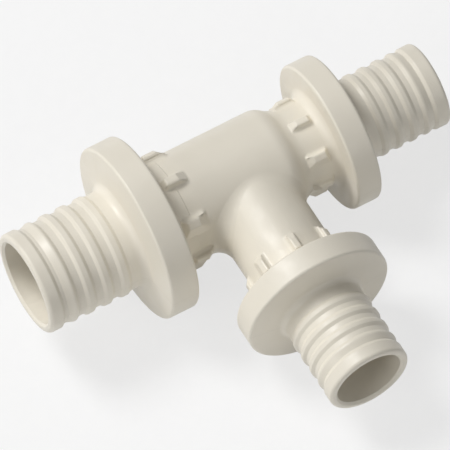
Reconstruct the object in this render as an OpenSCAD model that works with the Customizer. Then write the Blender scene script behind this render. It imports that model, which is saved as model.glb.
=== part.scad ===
// Reducing pipe tee, moulded in one piece: a run with one large and one small barbed end,
// and a small barbed branch square to it. Millimetres, +Z up. The three axes lie in the
// plane z = 0 and cross at the origin. The large end points along -X, the small end of the
// run along +X and the branch along -Y.

/* [Body] */
// Outside diameter of the run, up to the shoulder
run_body_d = 20.6; // [20:0.1:22]
// Outside diameter of the branch and of the run's small neck
neck_d = 17; // [16.4:0.1:17.8]
// Outside diameter of the short land behind the large collar
land_d = 20.9; // [20.8:0.1:22.4]
// Length of that land, from the collar's inner face
land_length = 4; // [3:0.1:5]
// Distance from the centre to the corner where the shoulder starts to fall
shoulder_from = 8.4; // [8:0.1:8.8]
// Distance from the centre to the corner where the shoulder meets the small neck
shoulder_to = 10.85; // [10.4:0.05:11.4]
// Radius that rounds the top of the shoulder
shoulder_round = 3.9; // [2:0.1:4.2]
// Radius in the hollow at the foot of the shoulder
shoulder_hollow = 3.75; // [2:0.05:4]
// Radius of the blend where the branch grows out of the run
blend_r = 3.6; // [2:0.1:4]

/* [Bores] */
// Bore of the large end
large_bore_d = 16.4; // [15:0.1:16.8]
// Bore of the two small ends
small_bore_d = 13.2; // [12:0.1:13.6]
// Distance from the centre at which the large bore starts to narrow
bore_step_at = 7.6; // [7:0.1:8]
// Length of the cone between the large bore and the small one
bore_step_length = 3.4; // [2:0.1:5]
// Chamfer inside each mouth
mouth_chamfer = 0.45; // [0.2:0.05:0.6]

/* [Collars] */
// Outside diameter of the large collar
large_collar_d = 34.6; // [32:0.2:38]
// Outside diameter of the two small collars
small_collar_d = 29.2; // [27:0.2:32]
// Thickness of the large collar at its rim
large_collar_t = 5.7; // [4:0.1:6.8]
// Thickness of the small collars at their rims
small_collar_t = 5.05; // [4:0.05:6.5]
// Distance from the centre to the inner face of both collars on the run
run_collar_at = 17.5; // [17:0.1:18.6]
// Distance from the centre to the inner face of the branch's collar
branch_collar_at = 25.3; // [24.6:0.1:26.5]
// Slope of each collar's pipe side, in degrees
collar_slope = 7.3; // [4:0.1:9]
// Radius on the edges of the rims
collar_edge_r = 0.55; // [0.3:0.05:1]
// Radius between each neck and its collar
collar_fillet_r = 1.85; // [1:0.05:2]

/* [Large spigot] */
// Distance from the centre to the mouth of the large end
large_reach = 44.5; // [44:0.5:54]
// Diameter over the ribs of the large spigot
large_spigot_d = 20; // [19.6:0.1:20.4]
// Height of the ribs on the large spigot
large_rib_h = 0.49; // [0.3:0.01:0.6]
// Width of a rib's crest on the large spigot
large_rib_w = 1.04; // [0.8:0.02:1.2]
// Distance from rib to rib on the large spigot
large_rib_pitch = 3.63; // [3.3:0.01:3.8]
// Length of the smooth land at the large mouth
large_lead = 2.53; // [2:0.01:2.7]
// Width of the groove between that land and the barb
large_groove = 0.68; // [0.3:0.01:0.8]
// Length of the ramp up the large barb
large_barb = 1.38; // [1:0.01:1.5]
// Radius between the large spigot and its collar
large_root_r = 1.7; // [1:0.05:1.8]
// Radius round the outside of the large mouth
large_mouth_r = 0.8; // [0.4:0.05:0.9]

/* [Small spigots] */
// Distance from the centre to the mouth of the small end of the run
small_reach = 41; // [40.5:0.5:50]
// Distance from the centre to the mouth of the branch
branch_reach = 48.8; // [48.3:0.5:58]
// Diameter over the ribs of the small spigots
small_spigot_d = 16.4; // [16.2:0.1:16.8]
// Height of the ribs on the small spigots
small_rib_h = 0.41; // [0.3:0.01:0.5]
// Width of a rib's crest on the small spigots
small_rib_w = 0.76; // [0.6:0.02:1]
// Distance from rib to rib on the small spigots
small_rib_pitch = 3.04; // [2.8:0.01:3.2]
// Length of the smooth land at each small mouth
small_lead = 2.65; // [2:0.01:2.8]
// Width of the groove between that land and the barb
small_groove = 0.1; // [0.05:0.01:0.4]
// Length of the ramp up the small barbs
small_barb = 1.14; // [0.9:0.01:1.3]
// Radius between each small spigot and its collar
small_root_r = 1.2; // [0.8:0.05:1.4]
// Radius round the outside of the small mouths
small_mouth_r = 0.7; // [0.4:0.05:0.8]

/* [Ribs] */
// Number of plain ribs behind the barb on each spigot
rib_count = 3; // [1:1:3]
// Length of a rib's sloping side
rib_flank = 0.63; // [0.4:0.01:0.66]
// Width of the crest of each barb
barb_crest = 0.36; // [0.3:0.02:0.5]
// Radius on the crests of the ribs and barbs
rib_edge_r = 0.3; // [0.1:0.05:0.4]
// How far the plain stretch next to each collar stands above the grooves
root_step = 0.11; // [0.05:0.01:0.2]

/* [Lugs] */
// Number of lugs round the neck behind each collar
lug_count = 8; // [4:4:8]
// Height of the lugs behind the large collar, from the run's outside
large_lug_h = 1.55; // [1.2:0.05:2]
// Width over the top of the lugs behind the large collar
large_lug_w = 1.8; // [1.4:0.1:2.4]
// Length of the lugs behind the large collar, at their feet
large_lug_length = 5.4; // [4.6:0.05:5.6]
// Height of the lugs behind the small collars
small_lug_h = 1.14; // [0.8:0.02:1.6]
// Width over the top of the lugs behind the small collars
small_lug_w = 1.4; // [1:0.1:2]
// Length of the lugs behind the small collars, at their feet
small_lug_length = 4.6; // [3.8:0.05:4.8]
// Gap between a collar's inner face and the feet of its lugs
lug_gap = 1.7; // [1.2:0.05:2]
// Slope of the end of each lug that faces its collar, in degrees
lug_front_slope = 58; // [45:1:75]
// Slope of the other end of each lug, in degrees
lug_back_slope = 38; // [32:1:60]
// Draft of the sides of each lug, in degrees
lug_draft = 9; // [3:1:15]
// Turn of the lugs askew to the mould's opening, in degrees
lug_turn = 1; // [0:0.5:2]
// Radius on the edges of a lug's top, as a share of its height
lug_edge_share = 0.3; // [0.1:0.05:0.4]
// Radius in the hollow round a lug's foot, as a share of its height
lug_foot_share = 0.6; // [0.3:0.05:0.7]
// Radius on the upright corners of a lug at its foot, as a share of its height
lug_corner_share = 0.55; // [0.3:0.05:0.7]

/* [Hidden] */
$fn = 96;
// Turns about Z that point an arm drawn along -X at each end
LARGE_END = 0;
BRANCH = 90;
SMALL_END = 180;
// Most degrees that one straight piece of a rounded corner turns through
ARC_STEP = 9;
// Extra length of a cut past the face that it opens
OVERLAP = 1;
// Length of the slope at the end of the land
LAND_STEP = 0.15;
BLEND_SIDES = 80;
BLEND_STEPS = 8;
// Turn that keeps the blend's corners off the planes of the axes, as a share of one side
BLEND_START = 0.37;
// How far the blend's two edges dip below the surfaces that they meet
BLEND_DIP = 0.06;
// Most of the end face, beside the chamfer, that the radius round a mouth may take, and most
// of the shoulder's slope that its two radii may take
MOUTH_SHARE = 0.8;
SLOPE_SHARE = 0.95;
// How far the hollow round a lug's foot dips below the neck and spreads beyond its end, and
// how deep its root goes
LUG_DIP = 0.05;
LUG_SPREAD = 0.1;
LUG_ROOT = 0.6;
// Flat faces across the hollow round a lug's foot, across its top edge and round its corners
LUG_FOOT_STEPS = 3;
LUG_EDGE_STEPS = 2;
LUG_CORNER_STEPS = 3;
// Share of a corner's radius that is gone at the top of a lug
LUG_CORNER_FADE = 0.75;
// Most that a lug's side leans away from square for the mould's sake
MOST_LEAN = 50;
run_r = run_body_d / 2;
neck_r = neck_d / 2;
land_r = land_d / 2;
large_bore_r = large_bore_d / 2;
small_bore_r = small_bore_d / 2;
large_root = large_spigot_d / 2 - large_rib_h + root_step;
small_root = small_spigot_d / 2 - small_rib_h + root_step;
shoulder_slope = atan((run_r - neck_r) / (shoulder_to - shoulder_from));
// The shoulder's two radii, both smaller where its slope is too short for them
slope_length = norm([run_r - neck_r, shoulder_to - shoulder_from]);
slope_use = (shoulder_round + shoulder_hollow) * tan(shoulder_slope / 2);
shoulder_fit = min(1, SLOPE_SHARE * slope_length / slope_use);
round_r = shoulder_fit * shoulder_round;
hollow_r = shoulder_fit * shoulder_hollow;
// Where the shoulder's round leaves the run
round_from = shoulder_from - round_r * tan(shoulder_slope / 2);
// The path on which the middle of the blend's ball rolls through the shoulder's hollow: its
// radius, and where it reaches the level of the neck
path_r = max(0, hollow_r - blend_r);
path_to = shoulder_to + max(hollow_r, blend_r) * tan(shoulder_slope / 2);

// Points that round the corner b of the path a, b, c
function rounded_corner(a, b, c) =
    let(
        u = unit([a[0] - b[0], a[1] - b[1]]),
        v = unit([c[0] - b[0], c[1] - b[1]]),
        half = acos(u * v) / 2,
        corner = [b[0], b[1]],
        centre = corner + unit(u + v) * b[2] / sin(half),
        first = corner + u * b[2] / tan(half) - centre,
        last = corner + v * b[2] / tan(half) - centre,
        start = atan2(first[1], first[0]),
        turn = atan2(first[0] * last[1] - first[1] * last[0], first * last),
        steps = ceil(abs(turn) / ARC_STEP)
    )
    [for (i = [0:steps]) centre + b[2] * [cos(start + turn * i / steps), sin(start + turn * i / steps)]];

function unit(v) = v / norm(v);

// A path of [radius, distance, rounding], with each corner rounded by its own third value
function rounded(path) = [
    for (i = [0:len(path) - 1])
        each path[i][2] == 0
            ? [[path[i][0], path[i][1]]]
            : rounded_corner(path[i - 1], path[i], path[i + 1])
];

// The same path on the other side of the centre, in reverse order
function mirrored(path) = [for (i = [len(path) - 1:-1:0]) [path[i][0], -path[i][1], path[i][2]]];

// One rib: its foot, its rounded crest and its other foot
function rib(foot_r, root_r, crest_r, width, middle) = [
    [foot_r, middle - width / 2 - rib_flank, 0],
    [crest_r, middle - width / 2, rib_edge_r],
    [crest_r, middle + width / 2, rib_edge_r],
    [root_r, middle + width / 2 + rib_flank, 0]
];

// Outline of a barbed spigot, from its plain root to the rounded edge of its mouth. A short
// spigot has only the ribs that there is room for.
function spigot(from, reach, crest_r, rib_h, width, pitch, lead, groove, ramp, edge_r) =
    let(
        root_r = crest_r - rib_h,
        groove_at = reach - lead - rib_flank,
        peak_at = groove_at - groove - ramp,
        foot_at = peak_at - barb_crest - rib_flank,
        last = min(rib_count, floor((foot_at - from) / pitch)) - 1
    )
    concat(
        [
            for (i = [last:-1:0])
                each rib(i == last ? root_r + root_step : root_r, root_r, crest_r, width,
                    foot_at - (i + 1) * pitch + width / 2 + rib_flank)
        ],
        [
            [root_r, foot_at, 0],
            [crest_r, peak_at - barb_crest, rib_edge_r],
            [crest_r, peak_at, rib_edge_r],
            [root_r, groove_at - groove, 0],
            [root_r, groove_at, 0],
            [crest_r, reach - lead, rib_edge_r],
            [crest_r, reach, edge_r]
        ]
    );

// Distance from the centre at which a collar's sloped side would meet the spigot's root
function collar_end(at, rim_r, thickness, root_r) =
    at + thickness + (rim_r - root_r) * tan(collar_slope);

// Outline of a collar, from the neck behind it to the spigot's plain root
function collar(behind_r, at, rim_r, thickness, root_r, fillet_r) = [
    [behind_r, at, collar_fillet_r],
    [rim_r, at, collar_edge_r],
    [rim_r, at + thickness, collar_edge_r],
    [root_r, collar_end(at, rim_r, thickness, root_r), fillet_r]
];

// Radius round a mouth, which leaves some of the end face between itself and the chamfer
function mouth_edge(edge_r, crest_r, bore_r) =
    min(edge_r, MOUTH_SHARE * (crest_r - bore_r - mouth_chamfer));

function large_end() =
    let(
        rim_r = large_collar_d / 2,
        crest_r = large_spigot_d / 2,
        from = collar_end(run_collar_at, rim_r, large_collar_t, large_root) + large_root_r,
        edge_r = mouth_edge(large_mouth_r, crest_r, large_bore_r)
    )
    concat(
        collar(land_r, run_collar_at, rim_r, large_collar_t, large_root, large_root_r),
        spigot(from, large_reach, crest_r, large_rib_h, large_rib_w, large_rib_pitch,
            large_lead, large_groove, large_barb, edge_r)
    );

function small_end(at, reach) =
    let(
        rim_r = small_collar_d / 2,
        crest_r = small_spigot_d / 2,
        from = collar_end(at, rim_r, small_collar_t, small_root) + small_root_r,
        edge_r = mouth_edge(small_mouth_r, crest_r, small_bore_r)
    )
    concat(
        collar(neck_r, at, rim_r, small_collar_t, small_root, small_root_r),
        spigot(from, reach, crest_r, small_rib_h, small_rib_w, small_rib_pitch,
            small_lead, small_groove, small_barb, edge_r)
    );

// The run, from the large mouth over the shoulder to the small mouth
module run_solid() {
    path = concat(
        [[0, -large_reach, 0]],
        mirrored(large_end()),
        [
            [land_r, land_length - run_collar_at, 0],
            [run_r, land_length - run_collar_at + LAND_STEP, 0],
            [run_r, shoulder_from, round_r],
            [neck_r, shoulder_to, hollow_r]
        ],
        small_end(run_collar_at, small_reach),
        [[0, small_reach, 0]]
    );
    rotate([0, 90, 0]) rotate_extrude() polygon(rounded(path));
}

module branch_solid() {
    path = concat(
        [[0, 0, 0], [neck_r, 0, 0]],
        small_end(branch_collar_at, branch_reach),
        [[0, branch_reach, 0]]
    );
    rotate([90, 0, 0]) rotate_extrude() polygon(rounded(path));
}

// Outline of a mouth's chamfer, run on past the end face
function mouth(bore_r, reach) = [
    [bore_r, reach - mouth_chamfer],
    [bore_r + mouth_chamfer + OVERLAP, reach + OVERLAP],
    [0, reach + OVERLAP]
];

module run_bore() {
    large = mouth(large_bore_r, large_reach);
    rotate([0, 90, 0]) rotate_extrude() polygon(concat(
        [for (i = [2:-1:0]) [large[i][0], -large[i][1]]],
        [[large_bore_r, bore_step_at], [small_bore_r, bore_step_at + bore_step_length]],
        mouth(small_bore_r, small_reach)
    ));
}

module branch_bore() {
    rotate([90, 0, 0]) rotate_extrude() polygon(concat(
        [[0, 0], [small_bore_r, 0]],
        mouth(small_bore_r, branch_reach)
    ));
}

// Distance from the run's axis to the middle of a ball of the blend's radius that rests on
// the run at x, and the lean of the run's surface under it
function ball_height(x) =
    let(
        over_r = round_r + blend_r,
        low = neck_r + blend_r
    )
    x <= round_from ? run_r + blend_r
        : x <= round_from + over_r * sin(shoulder_slope)
            ? run_r - round_r + sqrt(over_r ^ 2 - (x - round_from) ^ 2)
        : x >= path_to ? low
        : x > path_to - path_r * sin(shoulder_slope) ? low + path_r - sqrt(path_r ^ 2 - (path_to - x) ^ 2)
        : low + path_r * (1 - cos(shoulder_slope))
            + (path_to - path_r * sin(shoulder_slope) - x) * tan(shoulder_slope);

function ball_lean(x) =
    x <= round_from || x >= path_to ? 0
        : x > path_to - path_r * sin(shoulder_slope) ? asin((path_to - x) / path_r)
        : min(shoulder_slope, asin(min(1, (x - round_from) / (round_r + blend_r))));

// One section of the blend at an angle round the branch: the arc between the two surfaces
// that the ball touches, and a corner inside the walls
function blend_section(angle) =
    let(
        out = [cos(angle), 0, sin(angle)],
        x = (neck_r + blend_r) * cos(angle),
        z = (neck_r + blend_r) * sin(angle),
        height = ball_height(x),
        middle = [x, -sqrt(height ^ 2 - z ^ 2), z],
        lean = ball_lean(x),
        to_run = -[sin(lean), cos(lean) * middle[1] / height, cos(lean) * z / height],
        sweep = acos(-out * to_run),
        step = sweep / (BLEND_STEPS + 1),
        inner_b = (neck_r + small_bore_r) / 2,
        inner_r = (run_r + large_bore_r) / 2,
        inner_y = -sqrt(inner_r ^ 2 - (inner_b * sin(angle)) ^ 2)
    )
    concat(
        [middle - (blend_r + BLEND_DIP) * out],
        [
            for (k = [1:BLEND_STEPS - 1])
                middle + blend_r * (to_run * sin(step * (k + 0.5))
                    - out * sin(sweep - step * (k + 0.5))) / sin(sweep)
        ],
        [
            middle + (blend_r + BLEND_DIP) * to_run,
            [inner_b * cos(angle), inner_y, inner_b * sin(angle)]
        ]
    );

// The rolling-ball blend round the foot of the branch
module blend() {
    points = [for (i = [0:BLEND_SIDES - 1]) each blend_section(360 * (i + BLEND_START) / BLEND_SIDES)];
    size = BLEND_STEPS + 2;
    faces = [
        for (i = [0:BLEND_SIDES - 1], j = [0:size - 1])
            let(
                here = i * size,
                next = (i + 1) % BLEND_SIDES * size,
                k = (j + 1) % size
            )
            each [[here + j, next + j, next + k], [here + j, next + k, here + k]]
    ];
    polyhedron(points, faces);
}

// Rows of one wall of a lug, as [distance from the lug's middle, height above the neck]: the
// hollow round its foot, from below the neck's surface, then the round on its top edge. The
// bare wall would meet the neck at foot_at and the top at top_at, at these slopes.
function lug_wall(foot_at, foot_slope, top_at, top_slope, height) =
    let(
        foot_r = lug_foot_share * height,
        edge_r = lug_edge_share * height
    )
    concat(
        [[foot_at + foot_r * tan(foot_slope / 2) + LUG_SPREAD, -LUG_DIP]],
        [
            for (k = [1:LUG_FOOT_STEPS])
                let(turn = foot_slope * k / LUG_FOOT_STEPS)
                [foot_at + foot_r * (tan(foot_slope / 2) - sin(turn)), foot_r * (1 - cos(turn))]
        ],
        [
            for (k = [LUG_EDGE_STEPS:-1:0])
                let(turn = top_slope * k / LUG_EDGE_STEPS)
                [top_at - edge_r * (tan(top_slope / 2) - sin(turn)), height - edge_r * (1 - cos(turn))]
        ]
    );

// The wall at one end of a lug, at an even slope
function lug_end(slope, height, length) =
    lug_wall(length / 2, slope, length / 2 - height / tan(slope), slope, height);

// The wall on one side of a lug. The mould opens along x. On a lug that points askew to it,
// the side that would catch leans back until it is parallel to x, and the other has no draft.
function lug_side(angle, hand, neck, height, width) =
    let(
        askew = acos(abs(cos(angle))),
        lean = sin(2 * angle) == 0 || askew > MOST_LEAN ? lug_draft
            : hand * sin(2 * angle) > 0 ? max(askew, lug_draft)
            : 0,
        corner = [neck + height, width / 2],
        down = [-cos(lean), sin(lean)],
        along = -corner * down,
        foot = corner + down * (along - sqrt(along ^ 2 - corner * corner + neck ^ 2)),
        foot_angle = atan2(foot[1], foot[0])
    )
    lug_wall(neck * foot_angle * PI / 180, 90 - lean - foot_angle, width / 2, 90 - lean, height);

// One lug on a neck along z: rings of points from below the neck's surface to the top, each a
// rounded rectangle wrapped round the neck, and a middle point at each end
module lug(angle, neck, front, height, width, length) {
    sides = [for (hand = [1, -1]) lug_side(angle, hand, neck, height, width)];
    ends = [for (slope = [lug_front_slope, lug_back_slope]) lug_end(slope, height, length)];
    rings = len(ends[0]);
    ring = 4 * (LUG_CORNER_STEPS + 1);
    points = [
        for (row = [0:rings - 1], q = [0:3], j = [0:LUG_CORNER_STEPS])
            let(
                beta = 90 * (q + j / LUG_CORNER_STEPS),
                hand = q == 0 || q == 3 ? 1 : -1,
                way = q < 2 ? 1 : -1,
                side = sides[(1 - hand) / 2][row],
                end = ends[(1 - way) / 2][row],
                rise = side[1] * cos(beta) ^ 2 + end[1] * sin(beta) ^ 2,
                corner_r = lug_corner_share * (height - LUG_CORNER_FADE * max(0, rise)),
                s = hand * (side[0] - corner_r) + corner_r * cos(beta),
                v = way * (end[0] - corner_r) + corner_r * sin(beta),
                r = neck + rise,
                turn = angle + s / r * 180 / PI
            )
            [r * cos(turn), r * sin(turn), front - length / 2 + v]
    ];
    middles = [
        for (r = [neck - LUG_ROOT, neck + height])
            [r * cos(angle), r * sin(angle), front - length / 2]
    ];
    last = (rings - 1) * ring;
    faces = concat(
        [
            for (row = [0:rings - 2], i = [0:ring - 1])
                let(
                    here = row * ring + i,
                    next = row * ring + (i + 1) % ring
                )
                each [[here, here + ring, next + ring], [here, next + ring, next]]
        ],
        [for (i = [0:ring - 1]) [i, (i + 1) % ring, rings * ring]],
        [for (i = [0:ring - 1]) [last + (i + 1) % ring, last + i, rings * ring + 1]]
    );
    polyhedron(concat(points, middles), faces);
}

// The ring of lugs behind one collar, on an arm along z. Those askew to the mould's opening
// are turned a little towards its parting plane.
module lugs(turn, neck, at, height, width, length) {
    rotate([0, 0, turn]) rotate([0, -90, 0])
        for (i = [0:lug_count - 1])
            let(angle = 360 * i / lug_count)
                lug(angle + lug_turn * sign(sin(2 * angle)), neck, at - lug_gap, height, width, length);
}

module tee_body() {
    color([0.9, 0.89, 0.85])
    difference() {
        union() {
            run_solid();
            branch_solid();
            blend();
            lugs(LARGE_END, run_r, run_collar_at, large_lug_h, large_lug_w, large_lug_length);
            lugs(SMALL_END, neck_r, run_collar_at, small_lug_h, small_lug_w, small_lug_length);
            lugs(BRANCH, neck_r, branch_collar_at, small_lug_h, small_lug_w, small_lug_length);
        }
        run_bore();
        branch_bore();
    }
}

tee_body();
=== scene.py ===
"""Studio picture of a moulded reducing pipe tee. Metres, in the frame of the CAD model."""

import math

import bpy
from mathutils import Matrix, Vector

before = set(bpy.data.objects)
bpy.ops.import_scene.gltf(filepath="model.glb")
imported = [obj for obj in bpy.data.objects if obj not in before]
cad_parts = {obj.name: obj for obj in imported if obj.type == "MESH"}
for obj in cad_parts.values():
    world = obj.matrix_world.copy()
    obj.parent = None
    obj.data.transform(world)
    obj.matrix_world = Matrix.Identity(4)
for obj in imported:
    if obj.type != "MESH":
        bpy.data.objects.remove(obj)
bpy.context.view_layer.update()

MM = 0.001

# The drawing's parallel view: its scale, its line of sight and where the axes cross in it
PICTURE_PX = 450
MM_PER_PX = 0.1832
AZIMUTH = math.radians(-30)
ELEVATION = math.radians(60)
AXES_CROSS_PX = Vector((235.95, 179.47))
LENS_MM = 1500
SENSOR_MM = 36

# The rims that the fitting rests on: radius, and distance along the arm of the edge that touches
LARGE_RIM_R, LARGE_RIM_AT = 17.3 * MM, 18.05 * MM
SMALL_RIM_R, SMALL_RIM_AT = 14.6 * MM, 22.0 * MM
BRANCH_RIM_AT = 29.8 * MM
# How far under the rims the floor lies, and its side
FLOOR_GAP = 0.06 * MM
FLOOR_SIDE = 6.0

# Where the blend at the branch's foot ends, outward along the branch and to each side of it
BLEND_END, BLEND_SIDE = -14.2 * MM, 11.2 * MM
# How far the shading softens the plastic's edges, off the blend and on it, and over what width
# the one gives way to the other
EDGE_RADIUS, BLEND_EDGE_RADIUS, BLEND_FADE = 0.12 * MM, 0.4 * MM, 0.6 * MM

# The plastic's colours. A share says how much of the deeper one a detail takes, and a shade
# makes a colour darker or lighter.
IVORY = (0.83, 0.78, 0.672)
IVORY_DEEP = (0.775, 0.715, 0.60)
CLOUD_SHADE = 0.965
SPECKLE_SHARE = 0.35
LINE_SHARE, LINE_SHADE = 0.3, 0.9
SCUFF_SHARE, SCUFF_SHADE = 0.35, 1.08

# The plastic's roughness, and what a rubbing mark and the witness line add to it
SATIN_LOW, SATIN_HIGH = 0.38, 0.50
SCUFF_ROUGHNESS, LINE_ROUGHNESS = 0.14, -0.08

# How high each detail of the plastic's surface stands at the most
GRAIN_HEIGHT = 0.018 * MM
RIPPLE_HEIGHT = 0.05 * MM
LINE_HEIGHT = 0.03 * MM
SCUFF_HEIGHT = -0.01 * MM

# The witness line: half its width at its foot and at its top, and how far it wanders in all
LINE_FOOT, LINE_TOP = 0.13 * MM, 0.03 * MM
LINE_WANDER = 0.05 * MM
# Distance from the arm's axis, with a minus where the surface faces the axis: in the bores it
# is below this
INSIDE_BELOW = -3 * MM

WHITE = (1.0, 1.0, 1.0)
# The share of the light that the paper sends back, and its darker fibres' share of that
PAPER = 0.82
FIBRE_SHADE = 0.97
# How far the paper goes to plain white where it is seen
PAPER_WHITE = 0.7


class Nodes:
    """A node tree, with one call that makes a node, sets its inputs and links them."""

    def __init__(self, tree):
        self.tree = tree
        tree.nodes.clear()

    def add(self, kind, settings=None, **inputs):
        """An input goes by its name, with _ for a space, or by its number, as i0, i1 and so on."""
        made = self.tree.nodes.new("ShaderNode" + kind)
        for name, value in (settings or {}).items():
            setattr(made, name, value)
        for name, value in inputs.items():
            socket = made.inputs[int(name[1:]) if name[1:].isdigit() else name.replace("_", " ")]
            if isinstance(value, bpy.types.NodeSocket):
                self.tree.links.new(value, socket)
            else:
                socket.default_value = value
        return made

    def math(self, operation, first, second=0.0, third=0.0):
        made = self.add("Math", {"operation": operation}, i0=first, i1=second, i2=third)
        return made.outputs[0]

    def noise(self, place, scale, detail=2.0, roughness=0.5):
        made = self.add("TexNoise", Vector=place, Scale=scale, Detail=detail, Roughness=roughness)
        return made.outputs[0]

    def ramp(self, value, low, high, out_low=0.0, out_high=1.0):
        """A smooth step from out_low at low to out_high at high, where low may be the larger."""
        made = self.add(
            "MapRange",
            {"interpolation_type": "SMOOTHSTEP"},
            Value=value, From_Min=low, From_Max=high, To_Min=out_low, To_Max=out_high,
        )
        return made.outputs[0]

    def mix(self, factor, first, second):
        made = self.add("Mix", {"data_type": "RGBA"}, i0=factor, i6=first, i7=second)
        return made.outputs[2]


def rgba(colour, by=1.0):
    return (*(by * c for c in colour), 1.0)


def parting_line(n, place, normal):
    """1 on the witness line that the two mould halves leave outside, in the plane of the axes."""
    at = n.add("SeparateXYZ", Vector=place)
    facing = n.add("SeparateXYZ", Vector=normal)
    x, y, z = at.outputs
    on_branch = n.math("LESS_THAN", y, n.math("MULTIPLY", n.math("ABSOLUTE", x), -1.0))
    run_side = n.math("MULTIPLY", facing.outputs["Y"], y)
    branch_side = n.math("MULTIPLY", facing.outputs["X"], x)
    outward = n.add("Mix", {"data_type": "FLOAT"}, i0=on_branch, i2=run_side, i3=branch_side)
    outside = n.math("GREATER_THAN", outward.outputs[0], INSIDE_BELOW)
    wander = n.math("MULTIPLY_ADD", n.noise(place, scale=900.0), LINE_WANDER, -LINE_WANDER / 2)
    height = n.math("ABSOLUTE", n.math("ADD", z, wander))
    return n.math("MULTIPLY", n.ramp(height, LINE_FOOT, LINE_TOP), outside)


def scuffs(n, place):
    """Short, faint rubbing marks from handling: 1 on them."""
    turned = n.add("Mapping", Vector=place, Rotation=(0.5, 0.3, 0.9), Scale=(1.0, 9.0, 4.0))
    strokes = n.noise(turned.outputs[0], scale=260.0, detail=4.0, roughness=0.6)
    patches = n.noise(place, scale=70.0)
    return n.math("MULTIPLY", n.ramp(strokes, 0.60, 0.72), n.ramp(patches, 0.5, 0.62))


def edge_radius(n, place):
    """How far edges are softened: more on the flat faces of the blend at the branch's foot."""
    at = n.add("SeparateXYZ", Vector=place)
    near_run = n.ramp(at.outputs["Y"], BLEND_END, BLEND_END + BLEND_FADE)
    aside = n.math("ABSOLUTE", at.outputs["X"])
    beside = n.ramp(aside, BLEND_SIDE + BLEND_FADE, BLEND_SIDE)
    on_blend = n.math("MULTIPLY", near_run, beside)
    return n.ramp(on_blend, 0.0, 1.0, EDGE_RADIUS, BLEND_EDGE_RADIUS)


def plastic_colour(n, place, line, marks):
    """Ivory, slightly uneven, and deeper in fine specks, on the witness line and where rubbed."""
    clouds = n.ramp(n.noise(place, scale=55.0, detail=3.0), 0.35, 0.68)
    specks = n.noise(place, scale=1500.0, detail=3.0, roughness=0.7)
    speckle = n.ramp(specks, 0.62, 0.75, 0.0, SPECKLE_SHARE)
    on_line = n.math("MULTIPLY", line, LINE_SHARE)
    on_marks = n.math("MULTIPLY", marks, SCUFF_SHARE)
    colour = n.mix(clouds, rgba(IVORY), rgba(IVORY, CLOUD_SHADE))
    colour = n.mix(speckle, colour, rgba(IVORY_DEEP))
    colour = n.mix(on_line, colour, rgba(IVORY_DEEP, LINE_SHADE))
    return n.mix(on_marks, colour, rgba(IVORY_DEEP, SCUFF_SHADE))


def plastic_roughness(n, place, line, marks):
    """Satin, duller where rubbed and a little glossier on the witness line."""
    patches = n.noise(place, scale=420.0, detail=3.0)
    rough = n.ramp(patches, 0.3, 0.7, SATIN_LOW, SATIN_HIGH)
    rough = n.math("MULTIPLY_ADD", marks, SCUFF_ROUGHNESS, rough)
    return n.math("MULTIPLY_ADD", line, LINE_ROUGHNESS, rough)


def plastic_normal(n, place, line, marks):
    """Softened edges under a fine grain, a slow ripple, the witness line and the marks.

    The heights are in metres, so the bump's Distance is 1.
    """
    soft_edges = n.add("Bevel", {"samples": 8}, Radius=edge_radius(n, place))
    grain = n.noise(place, scale=5200.0, detail=3.0, roughness=0.6)
    ripple = n.noise(place, scale=240.0)
    relief = n.math("MULTIPLY", ripple, RIPPLE_HEIGHT)
    relief = n.math("MULTIPLY_ADD", grain, GRAIN_HEIGHT, relief)
    relief = n.math("MULTIPLY_ADD", line, LINE_HEIGHT, relief)
    relief = n.math("MULTIPLY_ADD", marks, SCUFF_HEIGHT, relief)
    bump = n.add("Bump", Height=relief, Strength=1.0, Distance=1.0, Normal=soft_edges.outputs[0])
    return bump.outputs[0]


def moulded_plastic():
    """Ivory engineering plastic as it leaves the mould: satin, with a fine grain."""
    material = bpy.data.materials.new("moulded_body")
    material.use_nodes = True
    n = Nodes(material.node_tree)
    place = n.add("TexCoord").outputs["Object"]
    line = parting_line(n, place, n.add("NewGeometry").outputs["Normal"])
    marks = scuffs(n, place)
    shader = n.add(
        "BsdfPrincipled",
        Base_Color=plastic_colour(n, place, line, marks),
        Roughness=plastic_roughness(n, place, line, marks),
        Normal=plastic_normal(n, place, line, marks),
        IOR=1.58,
        Specular_IOR_Level=0.42,
    )
    n.add("OutputMaterial", Surface=shader.outputs[0])
    return material


def floor_paper():
    """Matt paper that is nearly plain white to the camera and in gloss, and keeps the shadow."""
    material = bpy.data.materials.new("floor_paper")
    material.use_nodes = True
    n = Nodes(material.node_tree)
    place = n.add("TexCoord").outputs["Object"]
    path = n.add("LightPath")
    seen = n.math("MAXIMUM", path.outputs["Is Camera Ray"], path.outputs["Is Glossy Ray"])
    seen = n.math("MAXIMUM", seen, path.outputs["Is Transmission Ray"])
    fibres = n.ramp(n.noise(place, scale=350.0, detail=4.0, roughness=0.6), 0.3, 0.7)
    paper = n.mix(fibres, rgba(WHITE, FIBRE_SHADE * PAPER), rgba(WHITE, PAPER))
    sheet = n.add("BsdfPrincipled", Base_Color=paper, Roughness=0.9, Specular_IOR_Level=0.2)
    white = n.add("Emission", Color=rgba(WHITE), Strength=1.0)
    share = n.math("MULTIPLY", seen, PAPER_WHITE)
    shown = n.add("MixShader", i0=share, i1=sheet.outputs[0], i2=white.outputs[0])
    n.add("OutputMaterial", Surface=shown.outputs[0])
    return material


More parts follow.
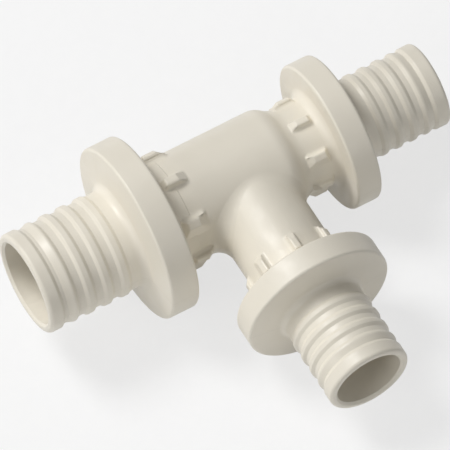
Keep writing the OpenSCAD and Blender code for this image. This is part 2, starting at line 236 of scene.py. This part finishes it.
def make_floor():
    """The plane that touches all three rims, as a table does when the fitting lies on it."""
    lean_x = (SMALL_RIM_R - LARGE_RIM_R) / (SMALL_RIM_AT + LARGE_RIM_AT)
    depth = LARGE_RIM_R + lean_x * LARGE_RIM_AT
    lean_y = (depth - SMALL_RIM_R) / BRANCH_RIM_AT
    up = Vector((lean_x, lean_y, 1.0)).normalized()
    bpy.ops.mesh.primitive_plane_add(size=FLOOR_SIDE, location=up * -(depth + FLOOR_GAP))
    floor = bpy.context.object
    floor.name = "floor"
    floor.rotation_mode = "QUATERNION"
    floor.rotation_quaternion = up.to_track_quat("Z", "Y")
    floor.data.materials.append(floor_paper())


def direction(azimuth, elevation):
    """Unit vector from the fitting towards a camera or lamp at these angles, in radians."""
    level = math.cos(elevation)
    return Vector((math.sin(azimuth) * level, -math.cos(azimuth) * level, math.sin(elevation)))


def add_lamp(name, azimuth, elevation, distance, side, watts):
    """A square lamp that faces the fitting, with its angles in degrees."""
    lamp = bpy.data.lights.new(name, "AREA")
    lamp.shape = "SQUARE"
    lamp.size = side
    lamp.energy = watts
    holder = bpy.data.objects.new(name, lamp)
    bpy.context.collection.objects.link(holder)
    towards = direction(math.radians(azimuth), math.radians(elevation))
    holder.location = towards * distance
    holder.rotation_mode = "QUATERNION"
    holder.rotation_quaternion = towards.to_track_quat("Z", "Y")


def light_studio():
    """A key lamp from the picture's upper left, weak ones from its lower corners, a dim sky."""
    world = bpy.data.worlds.new("studio")
    world.use_nodes = True
    n = Nodes(world.node_tree)
    sky = n.add("Background", Color=rgba(WHITE), Strength=0.15)
    n.add("OutputWorld", Surface=sky.outputs[0])
    bpy.context.scene.world = world
    add_lamp("key", azimuth=-143, elevation=53, distance=0.9, side=0.34, watts=5.8)
    add_lamp("fill", azimuth=-80, elevation=26, distance=1.0, side=0.5, watts=2.2)
    add_lamp("front", azimuth=10, elevation=26, distance=1.0, side=0.5, watts=1.3)


def add_camera():
    """A long lens along the drawing's line of sight, with the drawing's frame."""
    back = direction(AZIMUTH, ELEVATION)
    facing = back.to_track_quat("Z", "Y")
    right, up = facing @ Vector((1, 0, 0)), facing @ Vector((0, 1, 0))
    offset = (Vector((PICTURE_PX, PICTURE_PX)) / 2 - AXES_CROSS_PX) * MM_PER_PX * MM
    distance = PICTURE_PX * MM_PER_PX * MM * LENS_MM / SENSOR_MM
    data = bpy.data.cameras.new("camera")
    data.lens = LENS_MM
    data.sensor_width = SENSOR_MM
    data.clip_end = 2 * distance
    camera = bpy.data.objects.new("camera", data)
    bpy.context.collection.objects.link(camera)
    camera.location = right * offset.x - up * offset.y + back * distance
    camera.rotation_mode = "QUATERNION"
    camera.rotation_quaternion = facing
    bpy.context.scene.camera = camera


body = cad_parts["tee_body"]
plastic = moulded_plastic()
for slot in body.material_slots:
    slot.material = plastic
make_floor()
light_studio()
add_camera()
bpy.context.scene.view_settings.view_transform = "Standard"
